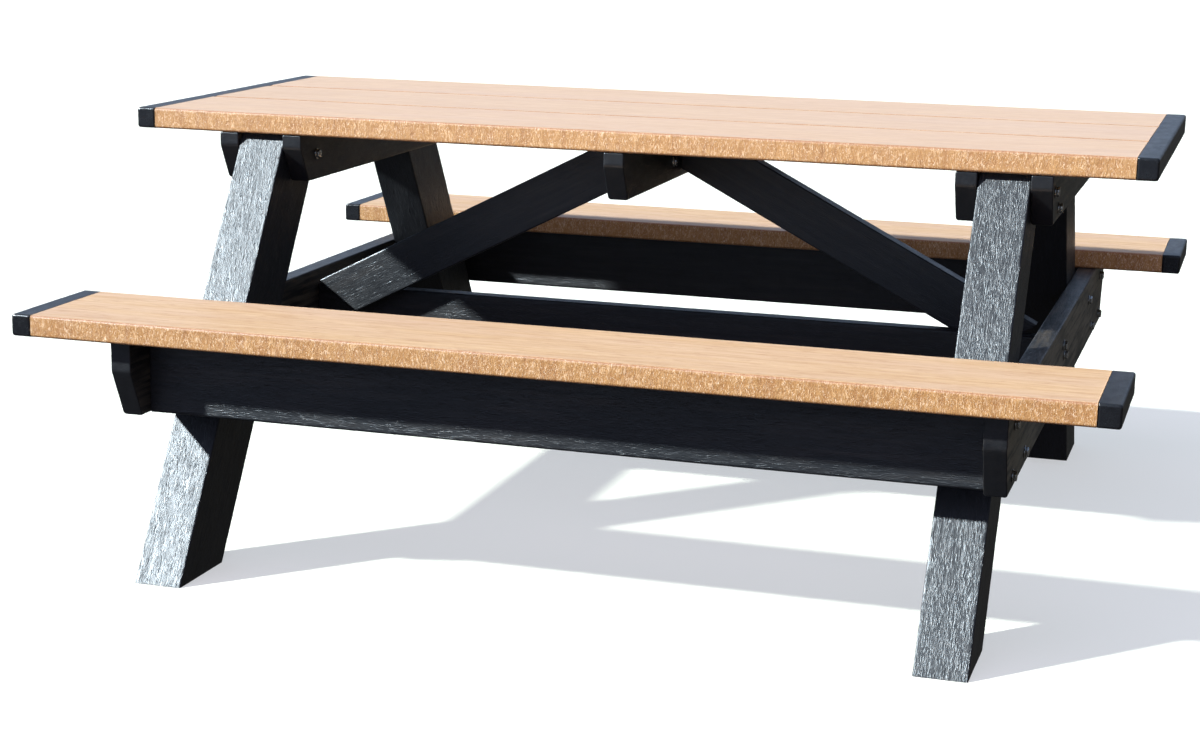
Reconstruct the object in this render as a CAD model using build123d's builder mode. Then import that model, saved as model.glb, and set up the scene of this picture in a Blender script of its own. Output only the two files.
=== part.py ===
from build123d import *
from math import cos, radians, sin, tan
import os

os.makedirs("parts", exist_ok=True)

# A picnic table of recycled-plastic lumber with splayed legs, in millimetres.
# X runs along the table, Y across it, Z up. The origin is on the ground under the table's centre.
# Every board is a separate solid. Lag screws, washers, plank screws and dowels are groups of solids.

# ---- Overall sizes ----
overall_length = 1829.0
top_height = 765.0
seat_height = 460.0
seat_outer_y = 827.0

# ---- Lumber sections ----
plank_thickness = 38.0
plank_width = 244.0
plank_gap = 4.0
plank_count = 3
trim_width = 36.0
board_thickness = 37.0
cleat_depth = 87.0
rail_depth = 138.0
leg_thickness = 87.0
leg_width = 138.0
edge_radius = 5.0

# ---- End frames ----
leg_inner_x = 625.0
leg_splay = 31.8
foot_outer_y = 800.0
cleat_half_length = 366.0
cleat_end_height = 24.0
cleat_bevel_run = 34.0
support_half_length = 790.0
support_end_height = 56.0
support_bevel_run = 38.0

# ---- Long rails and braces ----
apron_outer_y = 724.0
stretcher_top_z = 391.0
brace_angle = 27.2
brace_foot_x = 695.0
brace_foot_top_z = 405.0

# ---- Fasteners ----
lag_diameter = 9.5
lag_hole_diameter = 10.0
head_across_flats = 14.3
head_height = 6.0
washer_diameter = 20.6
washer_thickness = 1.6
screw_diameter = 6.0
screw_hole_diameter = 6.4
screw_head_diameter = 12.0
screw_head_height = 4.0
screw_well_diameter = 14.0
screw_grip = 40.0
screw_bite = 28.0
dowel_diameter = 8.0
dowel_hole_diameter = 8.4
dowel_in_trim = 24.0
dowel_in_plank = 36.0
lag_bite_leg = 62.0
lag_bite_rail = 72.0
lag_bite_brace_top = 56.0
lag_bite_brace_foot = 30.0
hole_spare_depth = 1.0

# ---- Places worked out from the sizes above ----
half_length = overall_length / 2
plank_half_length = half_length - trim_width
top_width = plank_count * plank_width + (plank_count - 1) * plank_gap
plank_pitch = plank_width + plank_gap
top_under_z = top_height - plank_thickness
seat_under_z = seat_height - plank_thickness
seat_middle_y = seat_outer_y - plank_width / 2
leg_outer_x = leg_inner_x + leg_thickness
inner_cleat_x = leg_inner_x - board_thickness / 2
outer_cleat_x = leg_outer_x + board_thickness / 2
frame_inner_x = leg_inner_x - board_thickness
frame_outer_x = leg_outer_x + board_thickness
cleat_bottom_z = top_under_z - cleat_depth
rail_bottom_z = seat_under_z - rail_depth
apron_middle_y = apron_outer_y - board_thickness / 2
leg_foot_span = leg_width / cos(radians(leg_splay))

# ---- Fastener places, as distances across the table and heights ----
leg_outer_lag_places = [(330.0, 697.0), (262.0, 661.0)]
leg_inner_lag_places = [(297.0, 688.0)]
support_lag_places = [(462.0, 379.0), (555.0, 310.0)]
apron_lag_heights = [390.0, 308.0]
stretcher_lag_places = [(-8.0, 377.0), (12.0, 356.0)]
brace_top_lag_z = 675.0
brace_foot_lag_x, brace_foot_lag_z = 612.0, 371.0
plank_screw_offset = 70.0
seat_screw_ys = [655.0, 735.0]
dowel_offset = 80.0

ends = [-1, 1]
sides = [-1, 1]
top_plank_ys = [-plank_pitch, 0.0, plank_pitch]
top_screw_ys = [y + side * plank_screw_offset for y in top_plank_ys for side in sides]
cleat_xs = [-outer_cleat_x, -inner_cleat_x, 0.0, inner_cleat_x, outer_cleat_x]


def write(piece, name):
    """Label a finished piece and write it to its own STEP file."""
    piece.part.label = name
    export_step(piece.part, f"parts/{name}.step")


def along(end, x, y, z):
    """Plane at a point of one end frame, facing away from the table's middle."""
    return Plane(origin=(end * x, y, z), x_dir=(0, end, 0), z_dir=(end, 0, 0))


def inward(end, x, y, z):
    """Plane at a point of one end frame, facing the table's middle."""
    return Plane(origin=(end * x, y, z), x_dir=(0, -end, 0), z_dir=(-end, 0, 0))


def down(x, y, z):
    """Plane at a point on an underside, facing the ground."""
    return Plane(origin=(x, y, z), x_dir=(1, 0, 0), z_dir=(0, 0, -1))


def leg_outer_lag_planes(x):
    """Planes of the lag screws that go through the outer top cleats into the legs."""
    return [along(end, x, side * y, z) for end in ends for side in sides for y, z in leg_outer_lag_places]


def leg_inner_lag_planes(x):
    """Planes of the lag screws that go through the inner top cleats into the legs from inside."""
    return [inward(end, x, side * y, z) for end in ends for side in sides for y, z in leg_inner_lag_places]


def support_lag_planes(x):
    """Planes of the lag screws that hold the seat supports to the legs."""
    return [along(end, x, side * y, z) for end in ends for side in sides for y, z in support_lag_places]


def apron_lag_planes(x):
    return [along(end, x, side * apron_middle_y, z)
            for end in ends for side in sides for z in apron_lag_heights]


def stretcher_lag_planes(x):
    return [along(end, x, end * y, z) for end in ends for y, z in stretcher_lag_places]


def brace_top_lag_planes(x):
    """Planes on the centre cleat's faces: each lag screw enters the brace on the cleat's other face."""
    return [along(end, x, -end * board_thickness, brace_top_lag_z) for end in ends]


def brace_foot_lag_planes():
    """Planes on the stretcher's faces, each opposite the brace that the lag screw enters."""
    return [Plane(origin=(end * brace_foot_lag_x, -end * board_thickness / 2, brace_foot_lag_z),
                  x_dir=(1, 0, 0), z_dir=(0, -end, 0)) for end in ends]


def seat_screw_planes(z):
    return [down(end * outer_cleat_x, side * y, z) for end in ends for side in sides for y in seat_screw_ys]


def top_screw_planes(z):
    return [down(x, y, z) for x in cleat_xs for y in top_screw_ys]


def offset_all(planes, distance):
    return [plane.offset(distance) for plane in planes]


def near(planes, piece):
    """The planes whose origins lie within a piece's box."""
    box = piece.part.bounding_box()
    slack = 0.01
    return [plane for plane in planes
            if box.min.X - slack <= plane.origin.X <= box.max.X + slack
            and box.min.Y - slack <= plane.origin.Y <= box.max.Y + slack
            and box.min.Z - slack <= plane.origin.Z <= box.max.Z + slack]


def bore(piece, planes, diameter, depth):
    """Drill a round hole from each of the planes that lie on the piece."""
    places = near(planes, piece)
    if places:
        with Locations(*places):
            Hole(diameter / 2, depth)


def screw_wells(piece, planes, depth):
    """Deep wells in a board on edge, so that short screws reach the plank above it."""
    with Locations(*near(planes, piece)):
        CounterBoreHole(screw_hole_diameter / 2, screw_well_diameter / 2, depth - screw_grip, depth)


# ---- Tabletop and seat planks ----
def plank(middle_y, top_z, screw_planes):
    """A plank with rounded long edges, blind screw holes below and dowel holes in both ends."""
    middle_z = top_z - plank_thickness / 2
    with BuildPart() as piece:
        with BuildSketch(Plane.YZ.offset(-plank_half_length)):
            with Locations((middle_y, middle_z)):
                Rectangle(plank_width, plank_thickness)
        extrude(amount=2 * plank_half_length)
        fillet(piece.edges().filter_by(Axis.X), edge_radius)
        bore(piece, screw_planes, screw_hole_diameter, screw_bite + hole_spare_depth)
        dowel_planes = [along(end, plank_half_length, middle_y + side * dowel_offset, middle_z)
                        for end in ends for side in sides]
        bore(piece, dowel_planes, dowel_hole_diameter, dowel_in_plank + hole_spare_depth)
    return piece


def trim(end, width, middle_y, top_z, plank_ys):
    """A batten across the plank ends, with its outer edges rounded and blind holes for the dowels."""
    with BuildPart() as piece:
        with BuildSketch(Plane.XY.offset(top_z - plank_thickness)):
            with Locations((end * (plank_half_length + trim_width / 2), middle_y)):
                Rectangle(trim_width, width)
        extrude(amount=plank_thickness)
        fillet(piece.faces().sort_by(Axis.X)[-1 if end > 0 else 0].edges(), edge_radius)
        dowel_planes = [inward(end, plank_half_length, y + side * dowel_offset, top_z - plank_thickness / 2)
                        for y in plank_ys for side in sides]
        bore(piece, dowel_planes, dowel_hole_diameter, dowel_in_trim + hole_spare_depth)
    return piece


for name, y in zip(["front", "middle", "rear"], top_plank_ys):
    write(plank(y, top_height, top_screw_planes(top_under_z)), f"top_plank_{name}")

for name, side in zip(["front", "rear"], sides):
    write(plank(side * seat_middle_y, seat_height, seat_screw_planes(seat_under_z)), f"seat_plank_{name}")

for end_name, end in zip(["left", "right"], ends):
    write(trim(end, top_width, 0, top_height, top_plank_ys), f"top_trim_{end_name}")
    for name, side in zip(["front", "rear"], sides):
        y = side * seat_middle_y
        write(trim(end, plank_width, y, seat_height, [y]), f"seat_trim_{name}_{end_name}")


# ---- Boards that run across the table ----
def cross_board(middle_x, top_z, depth, half_span, end_height, bevel_run):
    """A board on edge with its two lower corners bevelled off and its long edges rounded."""
    bottom_z = top_z - depth
    with BuildPart() as piece:
        with BuildSketch(Plane.YZ.offset(middle_x - board_thickness / 2)):
            with BuildLine():
                Polyline((-half_span, top_z), (half_span, top_z), (half_span, top_z - end_height),
                         (half_span - bevel_run, bottom_z), (bevel_run - half_span, bottom_z),
                         (-half_span, top_z - end_height), close=True)
            make_face()
        extrude(amount=board_thickness)
        fillet(piece.edges().filter_by(Axis.Y), edge_radius)
    return piece


cleat_names = ["left_outer", "left_inner", "centre", "right_inner", "right_outer"]
for name, x in zip(cleat_names, cleat_xs):
    with BuildPart() as cleat:
        add(cross_board(x, top_under_z, cleat_depth, cleat_half_length, cleat_end_height,
                        cleat_bevel_run).part)
        screw_wells(cleat, top_screw_planes(cleat_bottom_z), cleat_depth)
        bore(cleat, leg_outer_lag_planes(frame_outer_x) + leg_inner_lag_planes(frame_inner_x)
             + brace_top_lag_planes(board_thickness / 2), lag_hole_diameter, board_thickness)
    write(cleat, f"top_cleat_{name}")

for end_name, end in zip(["left", "right"], ends):
    with BuildPart() as seat_support:
        add(cross_board(end * outer_cleat_x, seat_under_z, rail_depth, support_half_length,
                        support_end_height, support_bevel_run).part)
        screw_wells(seat_support, seat_screw_planes(rail_bottom_z), rail_depth)
        bore(seat_support, support_lag_planes(frame_outer_x) + apron_lag_planes(frame_outer_x)
             + stretcher_lag_planes(frame_outer_x), lag_hole_diameter, board_thickness)
    write(seat_support, f"seat_support_{end_name}")


# ---- Legs ----
def leg(end, side):
    """A thick post that leans toward the table's middle, cut level at its foot and at its top."""
    lean = top_under_z * tan(radians(leg_splay))
    foot_inner_y = foot_outer_y - leg_foot_span
    grain = Axis((0, 0, 0), (0, -side * sin(radians(leg_splay)), cos(radians(leg_splay))))
    with BuildPart() as piece:
        with BuildSketch(Plane.YZ.offset(end * (leg_inner_x + leg_thickness / 2) - leg_thickness / 2)):
            with BuildLine():
                Polyline((side * foot_outer_y, 0), (side * (foot_outer_y - lean), top_under_z),
                         (side * (foot_inner_y - lean), top_under_z), (side * foot_inner_y, 0), close=True)
            make_face()
        extrude(amount=leg_thickness)
        fillet(piece.edges().filter_by(grain), edge_radius)
        bore(piece, leg_outer_lag_planes(leg_outer_x) + leg_inner_lag_planes(leg_inner_x)
             + support_lag_planes(leg_outer_x), lag_hole_diameter, lag_bite_leg + hole_spare_depth)
    return piece


for end_name, end in zip(["left", "right"], ends):
    for name, side in zip(["front", "rear"], sides):
        write(leg(end, side), f"leg_{end_name}_{name}")


# ---- Boards that run along the table ----
def long_rail(middle_y, top_z, depth, lag_planes):
    """A board on edge between the two seat supports, with blind holes for the lag screws in its ends."""
    with BuildPart() as piece:
        with BuildSketch(Plane.YZ.offset(-leg_outer_x)):
            with Locations((middle_y, top_z - depth / 2)):
                Rectangle(board_thickness, depth)
        extrude(amount=2 * leg_outer_x)
        fillet(piece.edges().filter_by(Axis.X), edge_radius)
        bore(piece, lag_planes, lag_hole_diameter, lag_bite_rail + hole_spare_depth)
    return piece


for name, side in zip(["front", "rear"], sides):
    write(long_rail(side * apron_middle_y, seat_under_z, rail_depth, apron_lag_planes(leg_outer_x)),
          f"apron_{name}")

with BuildPart() as stretcher:
    add(long_rail(0, stretcher_top_z, cleat_depth, stretcher_lag_planes(leg_outer_x)).part)
    bore(stretcher, brace_foot_lag_planes(), lag_hole_diameter, board_thickness)
write(stretcher, "centre_stretcher")


def brace(end):
    """A diagonal board from the centre cleat down beside the stretcher, mitred at both ends."""
    slope = tan(radians(brace_angle))
    upright = cleat_depth / cos(radians(brace_angle))
    top_x = brace_foot_x - (top_under_z - brace_foot_top_z) / slope
    butt_x = board_thickness / 2
    butt_z = top_under_z - upright + (top_x - butt_x) * slope
    cut_slope = tan(radians(90 - 2 * brace_angle))
    cut_run = upright / (cut_slope + slope)
    middle_y = end * board_thickness
    grain = Axis((0, 0, 0), (-end * cos(radians(brace_angle)), 0, sin(radians(brace_angle))))
    with BuildPart() as piece:
        with BuildSketch(Plane.XZ.offset(-middle_y - board_thickness / 2)):
            with BuildLine():
                Polyline((end * brace_foot_x, brace_foot_top_z), (end * top_x, top_under_z),
                         (end * butt_x, top_under_z), (end * butt_x, butt_z),
                         (end * (brace_foot_x - cut_run), brace_foot_top_z - cut_run * cut_slope), close=True)
            make_face()
        extrude(amount=board_thickness)
        fillet(piece.edges().filter_by(grain), edge_radius)
        bore(piece, [inward(end, butt_x, middle_y, brace_top_lag_z)], lag_hole_diameter,
             lag_bite_brace_top + hole_spare_depth)
        bore(piece, offset_all(brace_foot_lag_planes(), -board_thickness), lag_hole_diameter,
             lag_bite_brace_foot + hole_spare_depth)
    return piece


for end_name, end in zip(["left", "right"], ends):
    write(brace(end), f"brace_{end_name}")


# ---- Fasteners: each plane lies on the face under the washer and looks away from the joint ----
def lag_screws(planes, bite):
    """Hexagon heads that sit on washers, each with a shank through a board and a bite beyond it."""
    with BuildPart() as piece:
        with BuildSketch(*offset_all(planes, washer_thickness)):
            RegularPolygon(head_across_flats / 2, 6, major_radius=False, rotation=30)
        extrude(amount=head_height)
        with BuildSketch(*offset_all(planes, washer_thickness)):
            Circle(lag_diameter / 2)
        extrude(amount=-(washer_thickness + board_thickness + bite))
    return piece


def washers(planes):
    with BuildPart() as piece:
        with BuildSketch(*planes):
            Circle(washer_diameter / 2)
            Circle(lag_hole_diameter / 2, mode=Mode.SUBTRACT)
        extrude(amount=washer_thickness)
    return piece


def plank_screws(planes):
    """Round-headed screws that sit at the bottom of their wells and bite into a plank above."""
    with BuildPart() as piece:
        with BuildSketch(*planes):
            Circle(screw_head_diameter / 2)
        extrude(amount=screw_head_height)
        with BuildSketch(*planes):
            Circle(screw_diameter / 2)
        extrude(amount=-(screw_grip + screw_bite))
    return piece


leg_outer_lags = leg_outer_lag_planes(frame_outer_x)
leg_inner_lags = leg_inner_lag_planes(frame_inner_x)
support_lags = support_lag_planes(frame_outer_x)
apron_lags = apron_lag_planes(frame_outer_x)
stretcher_lags = stretcher_lag_planes(frame_outer_x)
brace_top_lags = brace_top_lag_planes(board_thickness / 2)
brace_foot_lags = brace_foot_lag_planes()

write(lag_screws(leg_outer_lags, lag_bite_leg), "leg_top_outer_lag_screws")
write(lag_screws(leg_inner_lags, lag_bite_leg), "leg_top_inner_lag_screws")
write(lag_screws(support_lags, lag_bite_leg), "seat_support_lag_screws")
write(lag_screws(apron_lags, lag_bite_rail), "apron_lag_screws")
write(lag_screws(stretcher_lags, lag_bite_rail), "stretcher_lag_screws")
write(lag_screws(brace_top_lags, lag_bite_brace_top), "brace_top_lag_screws")
write(lag_screws(brace_foot_lags, lag_bite_brace_foot), "brace_foot_lag_screws")
write(washers(leg_outer_lags + leg_inner_lags + support_lags + apron_lags + stretcher_lags
              + brace_top_lags + brace_foot_lags), "lag_washers")

write(plank_screws(top_screw_planes(top_under_z - screw_grip)), "top_plank_screws")
write(plank_screws(seat_screw_planes(seat_under_z - screw_grip)), "seat_plank_screws")

dowel_places = [(y + side * dowel_offset, z) for y, z in
                [(y, top_height) for y in top_plank_ys] + [(s * seat_middle_y, seat_height) for s in sides]
                for side in sides]
with BuildPart() as dowels:
    with BuildSketch(*[along(end, plank_half_length - dowel_in_plank, y, z - plank_thickness / 2)
                       for end in ends for y, z in dowel_places]):
        Circle(dowel_diameter / 2)
    extrude(amount=dowel_in_plank + dowel_in_trim)
write(dowels, "trim_dowels")
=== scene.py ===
from collections import namedtuple
from math import cos, pi, radians, sin, tan

import bmesh
import bpy
import numpy as np
from mathutils import Matrix, Vector


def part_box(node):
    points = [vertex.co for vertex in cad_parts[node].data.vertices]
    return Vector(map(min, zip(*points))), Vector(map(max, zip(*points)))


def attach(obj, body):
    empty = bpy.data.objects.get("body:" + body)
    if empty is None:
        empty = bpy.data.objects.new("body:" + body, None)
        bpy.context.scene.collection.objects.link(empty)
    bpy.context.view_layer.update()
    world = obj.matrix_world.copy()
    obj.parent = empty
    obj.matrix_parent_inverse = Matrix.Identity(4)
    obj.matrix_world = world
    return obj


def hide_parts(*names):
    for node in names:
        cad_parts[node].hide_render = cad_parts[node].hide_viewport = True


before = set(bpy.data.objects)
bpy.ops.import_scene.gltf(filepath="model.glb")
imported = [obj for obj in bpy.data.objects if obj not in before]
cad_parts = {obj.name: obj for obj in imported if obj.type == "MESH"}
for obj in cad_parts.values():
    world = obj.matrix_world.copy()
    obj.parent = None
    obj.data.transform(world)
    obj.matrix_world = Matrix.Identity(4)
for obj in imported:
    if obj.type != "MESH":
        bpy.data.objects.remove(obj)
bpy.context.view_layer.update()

# A picnic table of recycled-plastic lumber. Metres, X along the table, Y across it, Z up.
# Every board is rebuilt as a dense mesh with the wrinkled skin and the cut ends of real plastic lumber.
# Every fastener is rebuilt with its chamfers and threads.

# ---- Sizes that the CAD boxes don't give directly ----
MM = 0.001
LEG_WIDTH = 138 * MM
LEG_SPLAY = radians(31.8)
CLEAT_END, CLEAT_BEVEL = 24 * MM, 34 * MM
SUPPORT_END, SUPPORT_BEVEL = 56 * MM, 38 * MM
BRACE_DEPTH = 87 * MM
BRACE_ANGLE = radians(27.2)
BRACE_FOOT_X, BRACE_FOOT_Z = 695 * MM, 405 * MM
CLEAT_FACE_X = 18.5 * MM
# Corner radii: the usual one, the tighter one of legs, braces and the tops of cleats and supports, and the
# barely broken one where a batten meets its planks.
EDGE, TIGHT, BROKEN = 5 * MM, 3 * MM, 1 * MM

ENDS = (("left", -1), ("right", 1))
SIDES = (("front", -1), ("rear", 1))
X, Y, Z = Vector((1, 0, 0)), Vector((0, 1, 0)), Vector((0, 0, 1))


def placed(name, data):
    """A new object in the scene that shows the given data."""
    thing = bpy.data.objects.new(name, data)
    bpy.context.scene.collection.objects.link(thing)
    return thing


# ---- Noise for the boards' relief ----
HASH_FACTORS = (374761393, 668265263, 1442695041, 362437)
HASH_MIXERS = (1274126177, 2246822519)
WORD, FRACTION = 0xFFFFFFFF, 0xFFFFFF
NOISE_GAIN = 1.5
RIDGE_FOLD = 3.2


def hashed(ix, iy, iz, salt):
    """A repeatable random-looking number, -1 to 1, for each whole-number point."""
    h = sum(part * factor for part, factor in zip((ix, iy, iz, salt), HASH_FACTORS)) & WORD
    h = ((h ^ (h >> 13)) * HASH_MIXERS[0]) & WORD
    h = ((h ^ (h >> 15)) * HASH_MIXERS[1]) & WORD
    return ((h ^ (h >> 16)) & FRACTION) / float(FRACTION // 2) - 1.0


def noise(points):
    """Smooth gradient noise, about -1 to 1, at an array of points."""
    cell = np.floor(points).astype(np.int64)
    f = points - cell
    u = f * f * f * (f * (f * 6 - 15) + 10)
    total = np.zeros(len(points))
    for dx in (0, 1):
        wx = u[:, 0] if dx else 1 - u[:, 0]
        for dy in (0, 1):
            wy = u[:, 1] if dy else 1 - u[:, 1]
            for dz in (0, 1):
                wz = u[:, 2] if dz else 1 - u[:, 2]
                corner = (cell[:, 0] + dx, cell[:, 1] + dy, cell[:, 2] + dz)
                slope = [hashed(*corner, salt) for salt in (1, 2, 3)]
                dot = slope[0] * (f[:, 0] - dx) + slope[1] * (f[:, 1] - dy) + slope[2] * (f[:, 2] - dz)
                total += wx * wy * wz * dot
    return total * NOISE_GAIN


def scaled(points, along, across):
    """Points counted in noise cells of the given size, in metres along and across the grain."""
    return points / np.array([along, across, across])


def layer(points, along, across, shift):
    """One layer of noise. The shift sets it apart from the other layers."""
    return noise(scaled(points, along, across) + shift)


def ridged(points):
    """Noise folded into sharp ridges, 1 at their tops."""
    return 1 - RIDGE_FOLD * np.abs(noise(points))


def ramp(values, start, width):
    """0 up to start, rising to 1 over the width."""
    return np.clip((values - start) / width, 0, 1)


# ---- Relief of the two kinds of lumber ----
BLACK_WRINKLES, BLACK_WAVES = 0.22 * MM, 0.35 * MM
TAN_WRINKLES, TAN_WAVES = 0.26 * MM, 0.25 * MM

# A board's points in its own grain, how broad the face they lie on is, 0 to 1, and the depth of its wrinkles.
Surface = namedtuple("Surface", "grain broad skin")


def black_relief(surface):
    """Bark-like wrinkles that run with the grain, over slow waves. Gives heights in metres, and ridges."""
    p = surface.grain
    warp = 0.45 * layer(p, along=0.040, across=0.018, shift=5.1)
    bark = ridged(scaled(p, along=0.036, across=0.0066) + warp[:, None])
    wrinkle = 0.65 * bark + 0.35 * layer(p, along=0.021, across=0.0056, shift=9.7)
    waves = layer(p, along=0.30, across=0.07, shift=3.3)
    return BLACK_WRINKLES * surface.skin * wrinkle + BLACK_WAVES * waves, wrinkle * surface.skin


def tan_relief(surface):
    """Crinkled arcs in short columns on the edges, calm streaks on the faces, and slow waves, as above."""
    p = surface.grain
    warp = 0.8 * layer(p, along=0.019, across=0.016, shift=2.2)
    arcs = ridged(scaled(p, along=0.0080, across=0.0150) + warp[:, None] * np.array([1, 0.6, 0.6]))
    columns = layer(p, along=0.014, across=0.09, shift=4.4)
    wrinkle = layer(p, along=0.0068, across=0.0085, shift=8.1)
    streaks = layer(p, along=0.16, across=0.011, shift=1.3)
    waves = layer(p, along=0.35, across=0.08, shift=6.4)
    on_edge = 0.45 * arcs + 0.55 * columns + 0.45 * wrinkle
    height = (1 - surface.broad) * on_edge + surface.broad * 0.4 * streaks
    return TAN_WRINKLES * height + TAN_WAVES * waves, height


# ---- Boards ----
CORNER_STEPS, CORNER_STEP_DEGREES = 3, 15
END_ROUND_DEGREES = (90, 60, 30)
CLOSEST_LINES = 0.0002
PLACE_DIGITS = 7
NO_LENGTH, NO_RATE = 1e-9, 1e-6
# The relief lies this far below the CAD surface on the whole, and is this much calmer on saw cuts.
RELIEF_SINK, CUT_CALM = 0.35 * MM, 0.7
# Starts and widths of the ramps, in the cosine of the angle to the end or to the broad face.
CUT_RAMP, BROAD_RAMP, CROWN_RAMP = (0.35, 0.4), (0.12, 0.45), (0.82, 0.16)


def lines_across(half, radii, pitch):
    """Places of the mesh lines across a section: fine in the rounded corners, even between them."""
    places = {-half, half}
    for radius in radii:
        for step in range(CORNER_STEPS + 1):
            inner = half - radius + radius * tan(radians(CORNER_STEP_DEGREES * step))
            places |= {round(inner, PLACE_DIGITS), round(-inner, PLACE_DIGITS)}
    inner = half - max(radii)
    count = max(2, round(2 * inner / pitch))
    places |= {round(-inner + 2 * inner * i / count, PLACE_DIGITS) for i in range(count + 1)}
    ordered = sorted(places)
    kept = [ordered[0]]
    for place in ordered[1:]:
        if place - kept[-1] > CLOSEST_LINES:
            kept.append(place)
    kept[-1] = half
    return np.array(kept)


def rounded_section(a, b, half_a, half_b, radius_at):
    """Moves the points of a rectangular grid so that its outline has rounded corners."""
    radius = np.where(a >= 0, radius_at[1], radius_at[0])
    da = np.sign(a) * np.maximum(np.abs(a) - (half_a - radius), 0)
    db = np.sign(b) * np.maximum(np.abs(b) - (half_b - radius), 0)
    length = np.hypot(da, db)
    reach = np.maximum(np.abs(da), np.abs(db))
    scale = np.where(length > NO_LENGTH, reach / np.maximum(length, NO_LENGTH), 1)
    return a - da + da * scale, b - db + db * scale


def smooth_least(first, second, blend):
    """The lesser of two values, with the change from one to the other rounded off."""
    h = np.clip(0.5 + 0.5 * (second - first) / blend, 0, 1)
    return second * (1 - h) + first * h - blend * h * (1 - h)


def end_places(origin, axes, a, cuts, blend, high):
    """How far along the board its end lies, for points at the distance a across it."""
    grain, width = axes[0], axes[1]
    found = None
    for normal, offset in cuts:
        rate = normal.dot(grain)
        if (rate > NO_RATE) != high or abs(rate) < NO_RATE:
            continue
        place = (offset - normal.dot(origin) - a * normal.dot(width)) / rate
        place = place if high else -place
        found = place if found is None else smooth_least(found, place, blend)
    return found if high else -found


def end_rings(count, end_round):
    """For each ring of points along a board, its part of the way, its move past that, and its inset."""
    turns = [radians(degrees) for degrees in END_ROUND_DEGREES]
    arc = [(0.0, end_round * (1 - sin(t)), end_round * (1 - cos(t))) for t in turns]
    middle = [(i / count, end_round * (1 - 2 * i / count), 0.0) for i in range(count + 1)]
    rings = arc + middle + [(1.0, -away, inset) for _, away, inset in reversed(arc)]
    return [np.array(column)[:, None, None] for column in zip(*rings)]


def quad_sheet(index, flip):
    """The quads of a grid of point numbers."""
    a, b, c, d = index[:-1, :-1], index[1:, :-1], index[1:, 1:], index[:-1, 1:]
    corners = (a, d, c, b) if flip else (a, b, c, d)
    return np.stack(corners, axis=-1).reshape(-1, 4)


def box_skin(shape, handed):
    """Which points of a box-shaped grid lie on its outside, and the quads between them."""
    outside = np.zeros(shape, bool)
    outside[[0, -1]] = True
    outside[:, [0, -1]] = True
    outside[:, :, [0, -1]] = True
    index = np.full(shape, -1, np.int64)
    index[outside] = np.arange(outside.sum())
    faces = np.concatenate([
        quad_sheet(index[0], handed), quad_sheet(index[-1], not handed),
        quad_sheet(index[:, 0], not handed), quad_sheet(index[:, -1], handed),
        quad_sheet(index[:, :, 0], handed), quad_sheet(index[:, :, -1], not handed)])
    return outside, faces


def store(mesh, name, values):
    """Keeps a value or a vector for each point of the mesh, for its material to read."""
    kind, field = ("FLOAT_VECTOR", "vector") if values.ndim == 2 else ("FLOAT", "value")
    kept = mesh.attributes.new(name, kind, "POINT")
    kept.data.foreach_set(field, values.astype(np.float32).reshape(-1))


def stand_in(mesh, ending, node):
    """Shows a finished mesh in place of a CAD node."""
    piece = placed(node + ending, mesh)
    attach(piece, "root")
    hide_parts(node)
    return piece


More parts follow.
